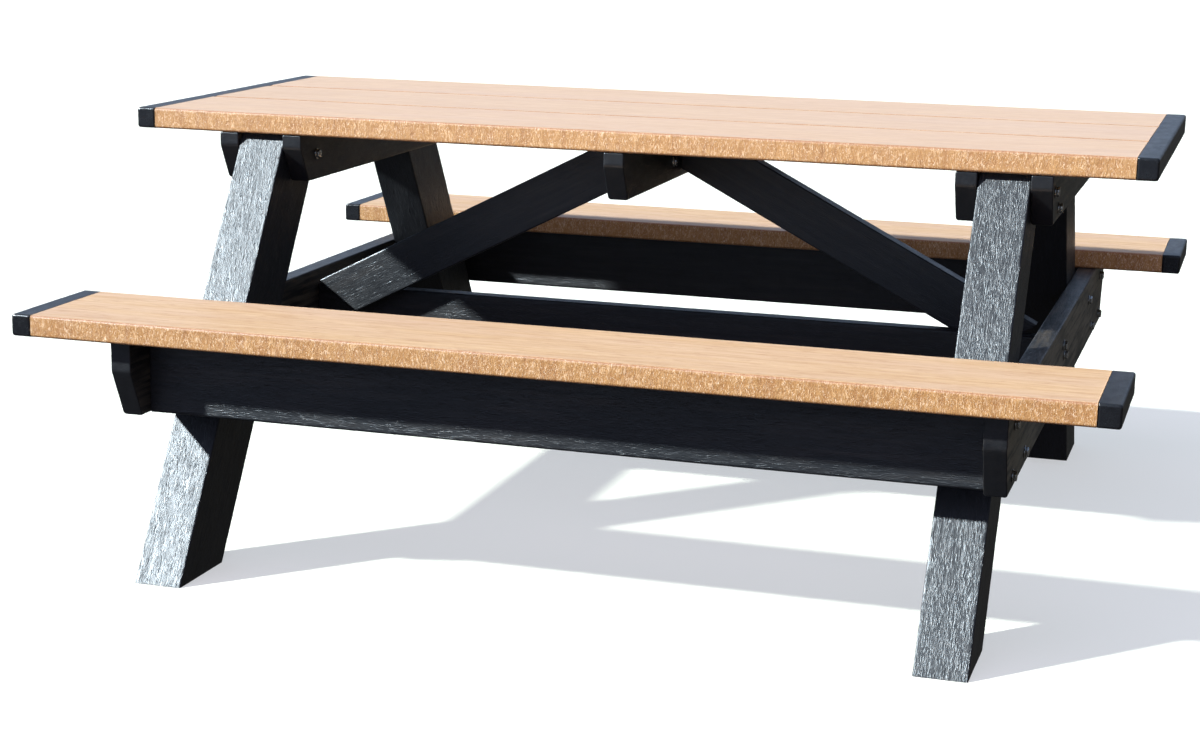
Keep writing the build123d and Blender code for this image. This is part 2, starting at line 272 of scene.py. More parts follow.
def board(node, origin, axes, half_a, half_b, cuts, material, slot, relief,
          radius_at=(EDGE, EDGE), end_round=1 * MM, blend=1 * MM,
          pitch=(4 * MM, 2.6 * MM, 2.6 * MM), kinks=(), skin=1.0, dusty=0.08):
    """One board as a closed mesh: a rounded section run along the grain between plane cuts, with its relief.

    axes are the grain, the section's width a and its thickness b. Each cut is a plane's normal and offset.
    radius_at are the corner radii at low and high a. end_round is the rounding of the saw cuts' rims, and
    blend how softly two cuts meet. pitch is the mesh's step along the grain, in a and in b. kinks are places
    in a that need a mesh line. skin is the depth of the wrinkles, and dusty how dusty or faded the board is.
    """
    seed = sum(ord(letter) * weight for weight, letter in enumerate(node, start=3))
    lines_a = lines_across(half_a, set(radius_at), pitch[1])
    lines_b = lines_across(half_b, set(radius_at), pitch[2])
    for kink in kinks:
        lines_a[np.argmin(np.abs(lines_a - kink))] = kink
    grid_a, grid_b = np.meshgrid(lines_a, lines_b, indexing="ij")
    grid_a, grid_b = rounded_section(grid_a, grid_b, half_a, half_b, radius_at)
    high = end_places(origin, axes, lines_a, cuts, blend, True)
    low = end_places(origin, axes, lines_a, cuts, blend, False)
    count = max(4, round(float(np.max(high) - np.min(low)) / pitch[0]))
    part_way, extra, inset = end_rings(count, end_round)
    a = grid_a[None] * (1 - inset / half_a)
    b = grid_b[None] * (1 - inset / half_b)
    high = end_places(origin, axes, a.reshape(-1), cuts, blend, True).reshape(a.shape)
    low = end_places(origin, axes, a.reshape(-1), cuts, blend, False).reshape(a.shape)
    s = low * (1 - part_way) + high * part_way + extra

    axis_rows = np.array([list(axis) for axis in axes])
    outside, faces = box_skin(s.shape, np.linalg.det(axis_rows) > 0)
    local = np.stack([s[outside], a[outside], b[outside]], axis=1)
    world = np.array(list(origin)) + local @ axis_rows
    mesh = bpy.data.meshes.new(node + "_board")
    mesh.from_pydata(world, [], faces.tolist())
    mesh.update()
    normals = np.zeros(len(world) * 3, np.float32)
    mesh.vertex_normals.foreach_get("vector", normals)
    normals = normals.reshape(-1, 3)

    # Each board's grain starts at another place, as if cut from another length of the same lumber.
    grain = local + np.array([seed % 13 * 1.7, seed % 7 * 0.9, seed % 5 * 0.7])
    cut = ramp(np.abs(normals @ axis_rows[0]), *CUT_RAMP)
    facing = np.abs(normals @ axis_rows[2])
    height, ridge = relief(Surface(grain, ramp(facing, *BROAD_RAMP), skin))
    moved = world + normals * ((height - RELIEF_SINK) * (1 - CUT_CALM * cut))[:, None]
    mesh.vertices.foreach_set("co", moved.astype(np.float32).reshape(-1))
    everywhere = np.ones(len(world))
    store(mesh, "grain", grain)
    store(mesh, "ridge", ridge)
    store(mesh, "cut", cut)
    store(mesh, "crown", ramp(facing, *CROWN_RAMP))
    store(mesh, "bend", 4 * (facing * (normals @ axis_rows[1])) ** 2)
    store(mesh, "tone", everywhere * (seed * 37 % 101) / 100.0)
    store(mesh, "skin", everywhere * skin)
    store(mesh, "dusty", everywhere * dusty)
    mesh.polygons.foreach_set("use_smooth", [True] * len(mesh.polygons))
    mesh.materials.append(material)
    mesh.update()
    return stand_in(mesh, "_board", node)


# ---- Node materials ----
class Nodes:
    """Short ways to add and join shader nodes in one material."""

    # A Mix node's colour sockets share their names with its number sockets, so they go by their places.
    MIX_FACTOR, MIX_FIRST, MIX_SECOND, MIX_RESULT = 0, 6, 7, 2

    def __init__(self, name):
        self.material = bpy.data.materials.new(name)
        self.material.use_nodes = True
        self.tree = self.material.node_tree
        self.tree.nodes.clear()
        self.shader = self.add("ShaderNodeBsdfPrincipled")
        output = self.add("ShaderNodeOutputMaterial")
        self.join(self.shader.outputs[0], output.inputs["Surface"])

    def add(self, kind, **settings):
        node = self.tree.nodes.new(kind)
        for key, value in settings.items():
            setattr(node, key, value)
        return node

    def join(self, source, target):
        self.tree.links.new(source, target)

    def feed(self, target, value):
        """Joins a socket to the target, or sets the target to a constant."""
        if isinstance(value, bpy.types.NodeSocket):
            self.join(value, target)
        else:
            target.default_value = value

    def shade(self, socket, value):
        self.feed(self.shader.inputs[socket], value)

    def attribute(self, name, output="Fac"):
        return self.add("ShaderNodeAttribute", attribute_name=name).outputs[output]

    def noise(self, vector, scale, shift=(0, 0, 0), detail=3.0, rough=0.55, distortion=0.0, kind="FBM"):
        """Noise with its own scale along each axis, in waves per metre."""
        mapping = self.add("ShaderNodeMapping")
        self.join(vector, mapping.inputs["Vector"])
        mapping.inputs["Scale"].default_value = scale
        mapping.inputs["Location"].default_value = shift
        node = self.add("ShaderNodeTexNoise", noise_type=kind)
        self.join(mapping.outputs[0], node.inputs["Vector"])
        settings = {"Scale": 1.0, "Detail": detail, "Roughness": rough, "Distortion": distortion}
        for key, value in settings.items():
            node.inputs[key].default_value = value
        return node.outputs[0]

    def range(self, value, low, high, to_low=0.0, to_high=1.0):
        node = self.add("ShaderNodeMapRange")
        self.feed(node.inputs["Value"], value)
        for key, number in (("From Min", low), ("From Max", high), ("To Min", to_low), ("To Max", to_high)):
            node.inputs[key].default_value = number
        return node.outputs[0]

    def maths(self, operation, first, second):
        node = self.add("ShaderNodeMath", operation=operation)
        self.feed(node.inputs[0], first)
        self.feed(node.inputs[1], second)
        return node.outputs[0]

    def times(self, first, second):
        return self.maths("MULTIPLY", first, second)

    def mix(self, factor, first, second):
        node = self.add("ShaderNodeMix", data_type="RGBA")
        self.feed(node.inputs[self.MIX_FACTOR], factor)
        self.feed(node.inputs[self.MIX_FIRST], first)
        self.feed(node.inputs[self.MIX_SECOND], second)
        return node.outputs[self.MIX_RESULT]

    def bump(self, height, distance, strength, under=None):
        node = self.add("ShaderNodeBump")
        self.join(height, node.inputs["Height"])
        node.inputs["Distance"].default_value = distance
        self.feed(node.inputs["Strength"], strength)
        if under is not None:
            self.join(under, node.inputs["Normal"])
        return node.outputs[0]


def lumber_noise(n, grain, along, across, **settings):
    """Noise drawn out along the grain, in waves per metre along it and across it."""
    return n.noise(grain, (along, across, across), **settings)


DEEP_BLACK, SOFT_BLACK = (0.0040, 0.0055, 0.0082, 1), (0.0068, 0.0082, 0.0112, 1)
BLACK_RIDGE, BLACK_CUT = (0.020, 0.024, 0.031, 1), (0.0045, 0.0052, 0.0066, 1)
BLACK_FADED, DUST = (0.012, 0.013, 0.014, 1), (0.165, 0.145, 0.108, 1)


def black_lumber():
    """Black skin with dusty streaks on the broad faces, greyer ridges, and darker, smoother saw cuts."""
    n = Nodes("black_lumber_skin")
    grain = n.attribute("grain", "Vector")
    cut = n.attribute("cut")
    depth = n.attribute("skin")
    skin = n.times(n.maths("SUBTRACT", 1.0, cut), depth)
    streaks = lumber_noise(n, grain, 6, 120, detail=5, rough=0.65)
    patches = lumber_noise(n, grain, 4, 14, shift=(4, 1, 7), detail=3)
    dust = n.times(n.range(streaks, 0.40, 0.66), n.range(patches, 0.32, 0.58))
    broad = n.range(n.attribute("crown"), 0.0, 1.0, 0.25, 1.0)
    broad = n.times(broad, n.range(cut, 0.0, 1.0, 1.0, 0.2))
    dust = n.times(n.times(dust, n.attribute("dusty")), broad)
    base = n.mix(n.range(patches, 0.3, 0.7), DEEP_BLACK, SOFT_BLACK)
    base = n.mix(n.times(dust, 0.9), base, DUST)
    base = n.mix(n.range(n.attribute("ridge"), 0.1, 1.0, 0.0, 0.20), base, BLACK_RIDGE)
    base = n.mix(n.times(cut, 0.7), base, BLACK_CUT)
    base = n.mix(n.range(n.attribute("tone"), 0.0, 1.0, 0.0, 0.15), base, BLACK_FADED)
    n.shade("Base Color", base)
    wear = lumber_noise(n, grain, 30, 60, detail=4, rough=0.65)
    rough = n.maths("ADD", n.range(wear, 0.3, 0.7, 0.35, 0.46), n.times(skin, 0.06))
    rough = n.maths("SUBTRACT", rough, n.times(cut, n.range(depth, 0.35, 0.6, 0.15, 0.07)))
    n.shade("Roughness", rough)
    n.shade("Specular IOR Level", 0.5)
    crinkle = lumber_noise(n, grain, 50, 420, detail=4, rough=0.62, distortion=1.2,
                           kind="RIDGED_MULTIFRACTAL")
    pores = lumber_noise(n, grain, 300, 640, detail=2)
    lines = lumber_noise(n, grain, 18, 420, detail=2)
    normal = n.bump(crinkle, 1.1 * MM, n.times(skin, 0.95))
    normal = n.bump(pores, 0.35 * MM, 0.6, normal)
    n.shade("Normal", n.bump(lines, 0.25 * MM, 0.5, normal))
    return n.material


EDGE_DARK, EDGE_LIGHT = (0.300, 0.152, 0.036, 1), (0.360, 0.198, 0.057, 1)
# Painted highlight for the ridges of the edges' relief, and painted shade for its hollows.
EDGE_PAINTED_SHADE, EDGE_PAINTED_HIGHLIGHT = (0.225, 0.098, 0.019, 1), (0.47, 0.30, 0.12, 1)
EDGE_COLUMN = (0.235, 0.102, 0.020, 1)
# Painted shade and painted highlight for the crinkled arcs, and painted glints for short strokes on the
# edges.
ARC_PAINTED_SHADE, ARC_PAINTED_HIGHLIGHT, STROKE_PAINTED_GLINT = (0.212, 0.092, 0.018, 1), (0.66, 0.50, 0.30, 1), (0.78, 0.65, 0.46, 1)
FACE_DARK, FACE_LIGHT = (0.415, 0.270, 0.134, 1), (0.552, 0.417, 0.258, 1)
FACE_ROSY, FACE_FIBRE, FACE_FADED = (0.455, 0.345, 0.285, 1), (0.31, 0.175, 0.090, 1), (0.50, 0.42, 0.36, 1)
TAN_TONE, TAN_BEND, TAN_CUT = (0.52, 0.35, 0.20, 1), (0.20, 0.085, 0.040, 1), (0.36, 0.22, 0.10, 1)


def tan_lumber():
    """Golden edges with crinkled arcs, paler streaky faces, and redder rounded corners. The edges carry
    painted highlights on their ridges, arcs and strokes, and painted shade in their hollows and around the
    arcs.
    """
    n = Nodes("tan_lumber_skin")
    grain = n.attribute("grain", "Vector")
    ridge = n.attribute("ridge")
    crown = n.attribute("crown")
    streaks = lumber_noise(n, grain, 4.5, 95, detail=6, rough=0.66, distortion=0.5)
    broad = lumber_noise(n, grain, 1.6, 16, shift=(3, 5, 2), detail=3)
    fibres = lumber_noise(n, grain, 15, 115, shift=(1, 2, 3), detail=5, rough=0.66, distortion=1.6)
    arcs = lumber_noise(n, grain, 260, 95, detail=3, rough=0.6, distortion=1.3)
    strokes = lumber_noise(n, grain, 330, 120, shift=(7, 3, 5), detail=2, rough=0.6, distortion=2.0)
    columns = lumber_noise(n, grain, 58, 10, shift=(2, 8, 1), detail=2)
    edge = n.mix(n.range(streaks, 0.32, 0.68), EDGE_DARK, EDGE_LIGHT)
    edge = n.mix(n.range(columns, 0.50, 0.36, 0.0, 0.55), edge, EDGE_COLUMN)
    # Painted highlight on the relief's ridges and painted shade in its hollows, then painted shade and
    # highlight on the arcs and painted glints on the strokes.
    edge = n.mix(n.range(ridge, 0.1, 1.0, 0.0, 0.40), edge, EDGE_PAINTED_HIGHLIGHT)
    edge = n.mix(n.range(ridge, 0.0, -1.0, 0.0, 0.50), edge, EDGE_PAINTED_SHADE)
    edge = n.mix(n.range(arcs, 0.50, 0.38, 0.0, 0.40), edge, ARC_PAINTED_SHADE)
    edge = n.mix(n.range(arcs, 0.55, 0.66, 0.0, 0.55), edge, ARC_PAINTED_HIGHLIGHT)
    edge = n.mix(n.range(strokes, 0.57, 0.68, 0.0, 0.60), edge, STROKE_PAINTED_GLINT)
    face = n.mix(n.range(streaks, 0.33, 0.67), FACE_DARK, FACE_LIGHT)
    face = n.mix(n.range(broad, 0.40, 0.72, 0.0, 0.40), face, FACE_ROSY)
    face = n.mix(n.range(fibres, 0.50, 0.66, 0.0, 0.62), face, FACE_FIBRE)
    face = n.mix(n.times(n.attribute("dusty"), 0.35), face, FACE_FADED)
    base = n.mix(crown, edge, face)
    base = n.mix(n.range(n.attribute("tone"), 0.0, 1.0, 0.0, 0.14), base, TAN_TONE)
    base = n.mix(n.times(n.attribute("bend"), 0.60), base, TAN_BEND)
    base = n.mix(n.times(n.attribute("cut"), 0.4), base, TAN_CUT)
    n.shade("Base Color", base)
    wear = lumber_noise(n, grain, 25, 50, detail=4, rough=0.65)
    n.shade("Roughness", n.range(wear, 0.3, 0.7, 0.47, 0.60))
    n.shade("Specular IOR Level", 0.35)
    lines = lumber_noise(n, grain, 14, 300, detail=3)
    side = n.maths("SUBTRACT", 1.0, crown)
    normal = n.bump(arcs, 1.3 * MM, n.maths("ADD", n.times(side, 0.75), 0.06))
    n.shade("Normal", n.bump(lines, 0.3 * MM, 0.5, normal))
    return n.material


STEEL_DARK, STEEL_LIGHT = (0.42, 0.41, 0.40, 1), (0.60, 0.60, 0.61, 1)


def stainless_steel():
    """Satin steel with cloudy handling marks and fine scratches."""
    n = Nodes("satin_stainless")
    place = n.add("ShaderNodeTexCoord").outputs["Object"]
    cloud = n.noise(place, (120, 120, 120), detail=4, rough=0.6)
    scratches = n.noise(place, (300, 2600, 2600), detail=3)
    n.shade("Base Color", n.mix(n.range(cloud, 0.3, 0.7), STEEL_DARK, STEEL_LIGHT))
    n.shade("Metallic", 1.0)
    n.shade("Roughness", n.range(cloud, 0.3, 0.7, 0.17, 0.32))
    n.shade("Normal", n.bump(scratches, 0.06 * MM, 0.5))
    return n.material


TAN, BLACK, STEEL = tan_lumber(), black_lumber(), stainless_steel()


# ---- The table's boards ----
def middle_and_halves(node):
    low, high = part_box(node)
    return (low + high) / 2, (high - low) / 2


def square_cuts(middle, half, grain):
    reach = abs(half.dot(grain))
    return [(grain.copy(), grain.dot(middle) + reach), (-grain, -grain.dot(middle) + reach)]


def black_board(*shape, **settings):
    return board(*shape, BLACK, "black_lumber", black_relief, **settings)


def tan_board(node, dusty):
    middle, half = middle_and_halves(node)
    cuts = square_cuts(middle, half, X)
    return board(node, middle, (X, Y, Z), half.y, half.z, cuts, TAN, "tan_lumber", tan_relief,
                 end_round=0.6 * MM, pitch=(3 * MM, 5 * MM, 2.3 * MM), dusty=dusty)


def batten(node, end):
    """A trim batten: only its outer edges are rounded."""
    middle, half = middle_and_halves(node)
    radius_at = (BROKEN, EDGE) if end > 0 else (EDGE, BROKEN)
    return black_board(node, middle, (Y, X, Z), half.x, half.z, square_cuts(middle, half, Y),
                       radius_at=radius_at, end_round=4 * MM, pitch=(3 * MM, 2.2 * MM, 2.2 * MM), skin=0.35)


def rail(node):
    """A long board on edge."""
    middle, half = middle_and_halves(node)
    return black_board(node, middle, (X, Z, Y), half.z, half.y, square_cuts(middle, half, X), skin=0.75)


def bevelled(node, end_height, bevel_run, dusty):
    """A board on edge across the table, with its two lower corners cut off."""
    middle, half = middle_and_halves(node)
    cuts = square_cuts(middle, half, Y)
    drop = 2 * half.z - end_height
    for side in (-1, 1):
        normal = Vector((0, side * drop, -bevel_run)).normalized()
        corner = Vector((0, side * half.y, middle.z + half.z - end_height))
        cuts.append((normal, normal.dot(corner)))
    return black_board(node, middle, (Y, Z, X), half.z, half.x, cuts, radius_at=(EDGE, TIGHT),
                       end_round=2 * MM, blend=1.5 * MM, kinks=(half.z - end_height,), skin=0.6, dusty=dusty)


def leg(node, side):
    """A leaning leg with both ends cut level."""
    low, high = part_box(node)
    outer = low.y if side < 0 else high.y
    span = LEG_WIDTH / cos(LEG_SPLAY)
    origin = Vector(((low.x + high.x) / 2, outer - side * span / 2, 0))
    grain = Vector((0, -side * sin(LEG_SPLAY), cos(LEG_SPLAY)))
    width = Vector((0, cos(LEG_SPLAY), side * sin(LEG_SPLAY)))
    cuts = [(Z.copy(), high.z), (-Z, -low.z)]
    return black_board(node, origin, (grain, width, X), LEG_WIDTH / 2, (high.x - low.x) / 2, cuts,
                       radius_at=(TIGHT, TIGHT), pitch=(3.2 * MM, 2.4 * MM, 2.4 * MM), dusty=0.05)


def brace(node, end):
    """A rising brace: square at its foot, level under the tabletop and upright on the centre cleat."""
    low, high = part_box(node)
    grain = Vector((-end * cos(BRACE_ANGLE), 0, sin(BRACE_ANGLE)))
    width = Vector((end * sin(BRACE_ANGLE), 0, cos(BRACE_ANGLE)))
    corner = Vector((end * BRACE_FOOT_X, (low.y + high.y) / 2, BRACE_FOOT_Z))
    cut_angle = radians(90) - 2 * BRACE_ANGLE
    foot = Vector((end * sin(cut_angle), 0, -cos(cut_angle)))
    cuts = [(Vector((-end, 0, 0)), -CLEAT_FACE_X), (Z.copy(), high.z), (foot, foot.dot(corner))]
    origin = corner - width * (BRACE_DEPTH / 2)
    return black_board(node, origin, (grain, width, Y), BRACE_DEPTH / 2, (high.y - low.y) / 2, cuts,
                       radius_at=(TIGHT, TIGHT), skin=0.4)


FADED_TOP, FRESH_SEAT = 1.0, 0.0
SUPPORT_DUST = {"left": 0.9, "right": 2.8}
OUTER_CLEAT_DUST, CLEAT_DUST = 0.8, 0.08

for name in ("front", "middle", "rear"):
    tan_board(f"top_plank_{name}", FADED_TOP)
for name, _ in SIDES:
    tan_board(f"seat_plank_{name}", FRESH_SEAT)
    rail(f"apron_{name}")
rail("centre_stretcher")
supports = []
for end_name, end in ENDS:
    batten(f"top_trim_{end_name}", end)
    support = f"seat_support_{end_name}"
    supports.append(bevelled(support, SUPPORT_END, SUPPORT_BEVEL, SUPPORT_DUST[end_name]))
    brace(f"brace_{end_name}", end)
    for name, side in SIDES:
        batten(f"seat_trim_{name}_{end_name}", end)
        leg(f"leg_{end_name}_{name}", side)
cleats = []
for name in ("left_outer", "left_inner", "centre", "right_inner", "right_outer"):
    dust = OUTER_CLEAT_DUST if "outer" in name else CLEAT_DUST
    cleats.append(bevelled(f"top_cleat_{name}", CLEAT_END, CLEAT_BEVEL, dust))

# ---- Fasteners ----
HEAD_FLATS, HEAD_HEIGHT = 14.3 * MM, 6 * MM
# A hexagon head's flat top, where its chamfer starts and how steeply it falls. Sag is how far the top falls
# towards its rim, and soft how far a head's lower rim is broken.
HEAD_TOP, CHAMFER_START, CHAMFER_FALL = 0.44 * HEAD_FLATS, 0.46 * HEAD_FLATS, 0.62
HEAD_SAG, HEAD_SOFT = 0.25 * MM, 0.3 * MM
LAG_RADIUS, LAG_ROOT, LAG_PITCH = 4.75 * MM, 3.5 * MM, 3.63 * MM
LAG_PLAIN, LAG_RELIEF = 30 * MM, 2 * MM
SCREW_RADIUS, SCREW_ROOT, SCREW_PITCH = 3 * MM, 2.1 * MM, 2.6 * MM
SCREW_HEAD, SCREW_DOME, SCREW_NECK = 6 * MM, 4 * MM, 1 * MM
DOME_PART, DOME_DEGREES = 0.72, (25, 45, 65, 82, 90)
RECESS_WIDTH, RECESS_RIM, RECESS_DEPTH = 2.9 * MM, 1.9 * MM, 2.6 * MM
WELL_RADIUS, WELL_SPARE, WELL_SIDES = 7 * MM, 5 * MM, 40
PIN_RADIUS, PIN_CHAMFER, PIN_GROOVES, PIN_GROOVE_PART = 4 * MM, 0.8 * MM, 10, 0.02
# A thread's point in major radii, how full and how blunt that is, and the crest's half width in pitches.
POINT_RADII, POINT_CURVE, POINT_TIP, CREST_HALF = 2.2, 0.8, 0.04, 0.28
RINGS_PER_TURN = 6
LAG_SIDES, WASHER_SIDES, SCREW_SIDES, PIN_SIDES = 24, 48, 16, 40
CREASE = radians(32)
END_ZONE = 0.3
SAME_POINT = 0.01 * MM


def solids(node):
    """The points of each separate solid in a CAD node."""
    mesh = bmesh.new()
    mesh.from_mesh(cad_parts[node].data)
    bmesh.ops.remove_doubles(mesh, verts=mesh.verts, dist=SAME_POINT)
    unseen = set(mesh.verts)
    found = []
    for start in mesh.verts:
        if start not in unseen:
            continue
        unseen.discard(start)
        group, waiting = [], [start]
        while waiting:
            vert = waiting.pop()
            group.append(vert.co.copy())
            for edge in vert.link_edges:
                other = edge.other_vert(vert)
                if other in unseen:
                    unseen.discard(other)
                    waiting.append(other)
        found.append(group)
    mesh.free()
    return sorted(found, key=lambda group: tuple(round(c, 4) for c in sum(group, Vector()) / len(group)))


def fastener_frame(points, flat=False):
    """Head-end point, axis away from the joint, and length of a long or a flat round solid."""
    low = Vector([min(p[i] for p in points) for i in range(3)])
    high = Vector([max(p[i] for p in points) for i in range(3)])
    middle, spans = (low + high) / 2, list(high - low)
    main = spans.index(min(spans) if flat else max(spans))
    axis = Vector([1.0 if i == main else 0.0 for i in range(3)])
    zone = spans[main] * END_ZONE
    ahead = sum((p - middle).cross(axis).length for p in points if (p - middle).dot(axis) > zone)
    behind = sum((p - middle).cross(axis).length for p in points if (p - middle).dot(axis) < -zone)
    axis = axis if ahead >= behind else -axis
    return middle + axis * spans[main] / 2, axis, spans[main]


def hexagon(turn):
    """The radius of the hexagon head's outline in the direction of the turn."""
    return HEAD_FLATS / 2 / cos((turn % (pi / 3)) - pi / 6)


def square(turn):
    """The radius of the square drive recess in the direction of the turn."""
    return RECESS_WIDTH / 2 / cos((turn % (pi / 2)) - pi / 4)


# The functions below each give a fastener's rings of points from its head end down.
# A ring holds a radius and a height for each turn, and height 0 is the head's end.
def threaded(start, length, major, root, pitch, turns_of):
    """A threaded length that ends in a point, from the height start downwards."""
    rings = []
    count = round(length / pitch * RINGS_PER_TURN)
    point = POINT_RADII * major
    for step in range(count + 1):
        depth = length * step / count
        left = length - depth
        slim = min(1.0, (left / point) ** POINT_CURVE + POINT_TIP)
        ring = []
        for turn in turns_of:
            phase = (depth / pitch + turn / (2 * pi)) % 1.0
            crest = max(0.0, 1 - abs(phase - 0.5) / CREST_HALF)
            ring.append((slim * (root + (major - root) * crest * min(1, depth / pitch)), start - depth))
        rings.append(ring)
    return rings


def lag_rings(length, turns_of):
    """A forged hexagon head with a chamfered top, a plain neck, then a coarse thread."""
    chamfer = [(hexagon(t), -CHAMFER_FALL * (hexagon(t) - CHAMFER_START)) for t in turns_of]
    rings = [[(HEAD_TOP * k, -HEAD_SAG * k * k) for _ in turns_of] for k in (0.35, 0.7, 1.0)]
    rings.append([(r * 0.985, z) for r, z in chamfer])
    rings.append([(r, z - HEAD_SAG) for r, z in chamfer])
    rings.append([(r, -HEAD_HEIGHT + HEAD_SOFT) for r, _ in chamfer])
    rings.append([(r * 0.975, -HEAD_HEIGHT) for r, _ in chamfer])
    neck = -HEAD_HEIGHT - LAG_PLAIN
    rings += [[(LAG_RADIUS, z) for _ in turns_of] for z in (-HEAD_HEIGHT, -HEAD_HEIGHT - LAG_RELIEF, neck)]
    return rings + threaded(neck, length - HEAD_HEIGHT - LAG_PLAIN, LAG_RADIUS, LAG_ROOT, LAG_PITCH, turns_of)


def plank_screw_rings(length, turns_of):
    """A domed head with a square drive recess, then a thread all the way to the point."""
    recess = [square(t) for t in turns_of]
    rings = [[(r * part, -depth) for r in recess]
             for part, depth in ((0.5, RECESS_DEPTH), (0.92, RECESS_DEPTH - 0.2 * MM), (1.0, 0.15 * MM))]
    for lean in DOME_DEGREES:
        away = RECESS_RIM + (SCREW_HEAD - RECESS_RIM) * sin(radians(lean))
        height = -DOME_PART * SCREW_DOME * (1 - cos(radians(lean)))
        rings.append([(away, height) for _ in turns_of])
    rings.append([(SCREW_HEAD, -SCREW_DOME + HEAD_SOFT) for _ in turns_of])
    rings += [[(r, -SCREW_DOME) for _ in turns_of] for r in (SCREW_HEAD - HEAD_SOFT, SCREW_RADIUS)]
    start = SCREW_DOME + SCREW_NECK
    return rings + threaded(-start, length - start, SCREW_RADIUS, SCREW_ROOT, SCREW_PITCH, turns_of)


def pin_rings(length, turns_of):
    """A plain pin with chamfered ends and shallow grooves along it."""
    cap = [(PIN_RADIUS / 2, 0), (PIN_RADIUS - PIN_CHAMFER, 0)]
    grooved = [(PIN_RADIUS, -PIN_CHAMFER), (PIN_RADIUS, -length / 2), (PIN_RADIUS, PIN_CHAMFER - length)]
    profile = cap + grooved + [(PIN_RADIUS - PIN_CHAMFER, -length)]
    waves = [1 - PIN_GROOVE_PART * (1 + cos(PIN_GROOVES * t)) for t in turns_of]
    return [[(r * (wave if r == PIN_RADIUS else 1), z) for wave in waves] for r, z in profile]


def washer_rings(length, turns_of):
    """A stamped washer: a closed ring section, with a soft outer edge."""
    outer, inner, thick = 10.3, 5.0, length / MM
    profile = [(inner, -0.15), (inner + 0.15, 0), (9.6, 0), (10.1, -0.12), (outer, -0.45),
               (outer, 0.35 - thick), (10.15, -thick), (inner + 0.1, -thick), (inner, 0.1 - thick)]
    return [[(r * MM, z * MM) for _ in turns_of] for r, z in profile]


def fasteners(node, make_rings, sides_round, flat=False, open_ring=False):
    """One piece with all of a node's fasteners, each turned from rings of points about its own axis."""
    verts, faces = [], []
    turns_of = [2 * pi * i / sides_round for i in range(sides_round)]
    around = [(i, (i + 1) % sides_round) for i in range(sides_round)]
    for points in solids(node):
        top, axis, length = fastener_frame(points, flat)
        across = Z if abs(axis.z) < 0.5 else X
        other = axis.cross(across)
        rings = make_rings(length, turns_of)
        first = [len(verts) + number * sides_round for number in range(len(rings))]
        outward = [across * cos(t) + other * sin(t) for t in turns_of]
        for ring in rings:
            verts += [top + axis * z + way * r for (r, z), way in zip(ring, outward)]
        pairs = list(zip(first, first[1:]))
        if open_ring:
            pairs.append((first[-1], first[0]))
        for a, b in pairs:
            faces += [(a + j, a + i, b + i, b + j) for i, j in around]
        if not open_ring:
            for number in (0, -1):
                centre, a = len(verts), first[number]
                verts.append(top + axis * sum(z for _, z in rings[number]) / sides_round)
                caps = [(a + i, a + j) if number == 0 else (a + j, a + i) for i, j in around]
                faces += [(centre, *cap) for cap in caps]
    mesh = bpy.data.meshes.new(node + "_turned")
    mesh.from_pydata(verts, [], faces)
    mesh.update()
    mesh.polygons.foreach_set("use_smooth", [True] * len(mesh.polygons))
    mesh.set_sharp_from_angle(angle=CREASE)
    mesh.materials.append(STEEL)
    stand_in(mesh, "_turned", node)


def bore_wells(board_piece, screw_node):
    """Cuts the open wells below the plank screws out of one board's underside."""
    low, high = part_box(board_piece.name.removesuffix("_board"))
    cutter = bmesh.new()
    for points in solids(screw_node):
        top, _, _ = fastener_frame(points)
        if low.x <= top.x <= high.x and low.y <= top.y <= high.y:
            depth = top.z - low.z + SCREW_DOME + WELL_SPARE
            shift = Matrix.Translation((top.x, top.y, top.z + SCREW_DOME - depth / 2))
            bmesh.ops.create_cone(cutter, cap_ends=True, segments=WELL_SIDES, radius1=WELL_RADIUS,
                                  radius2=WELL_RADIUS, depth=depth, matrix=shift)
    mesh = bpy.data.meshes.new("wells")
    cutter.to_mesh(mesh)
    cutter.free()
    tool = placed("wells", mesh)
    cut = board_piece.modifiers.new("wells", "BOOLEAN")
    cut.operation, cut.object, cut.solver = "DIFFERENCE", tool, "EXACT"
    depsgraph = bpy.context.evaluated_depsgraph_get()
    drilled = bpy.data.meshes.new_from_object(board_piece.evaluated_get(depsgraph))
    board_piece.modifiers.clear()
    board_piece.data = drilled
    bpy.data.objects.remove(tool)


for cleat in cleats:
    bore_wells(cleat, "top_plank_screws")
for support in supports:
    bore_wells(support, "seat_plank_screws")
for joint in ("leg_top_outer", "leg_top_inner", "seat_support", "apron",
              "stretcher", "brace_top", "brace_foot"):
    fasteners(f"{joint}_lag_screws", lag_rings, LAG_SIDES)
fasteners("lag_washers", washer_rings, WASHER_SIDES, flat=True, open_ring=True)
for joint in ("top", "seat"):
    fasteners(f"{joint}_plank_screws", plank_screw_rings, SCREW_SIDES)
fasteners("trim_dowels", pin_rings, PIN_SIDES)

# ---- Floor and backdrop ----
FLOOR_HALF = 40
RING_RADIUS, RING_LOW, RING_HIGH, RING_SIDES = 38, -0.5, 60, 96
PAPER_WHITE = (0.97, 0.98, 1.0, 1)


def plain_surface(name, points, faces, base, roughness, specular, glow, hidden_from):
    """A plain glowing sheet near the table that the listed rays don't see."""
    paint = Nodes(f"{name}_paint")
    paint.shade("Base Color", base)
    paint.shade("Roughness", roughness)
    paint.shade("Specular IOR Level", specular)
    paint.shade("Emission Color", PAPER_WHITE)
    paint.shade("Emission Strength", glow)
    mesh = bpy.data.meshes.new(name)
    mesh.from_pydata(points, [], faces)
    mesh.materials.append(paint.material)
    surface = placed(name, mesh)
    for rays in hidden_from:
        setattr(surface, f"visible_{rays}", False)
    return surface


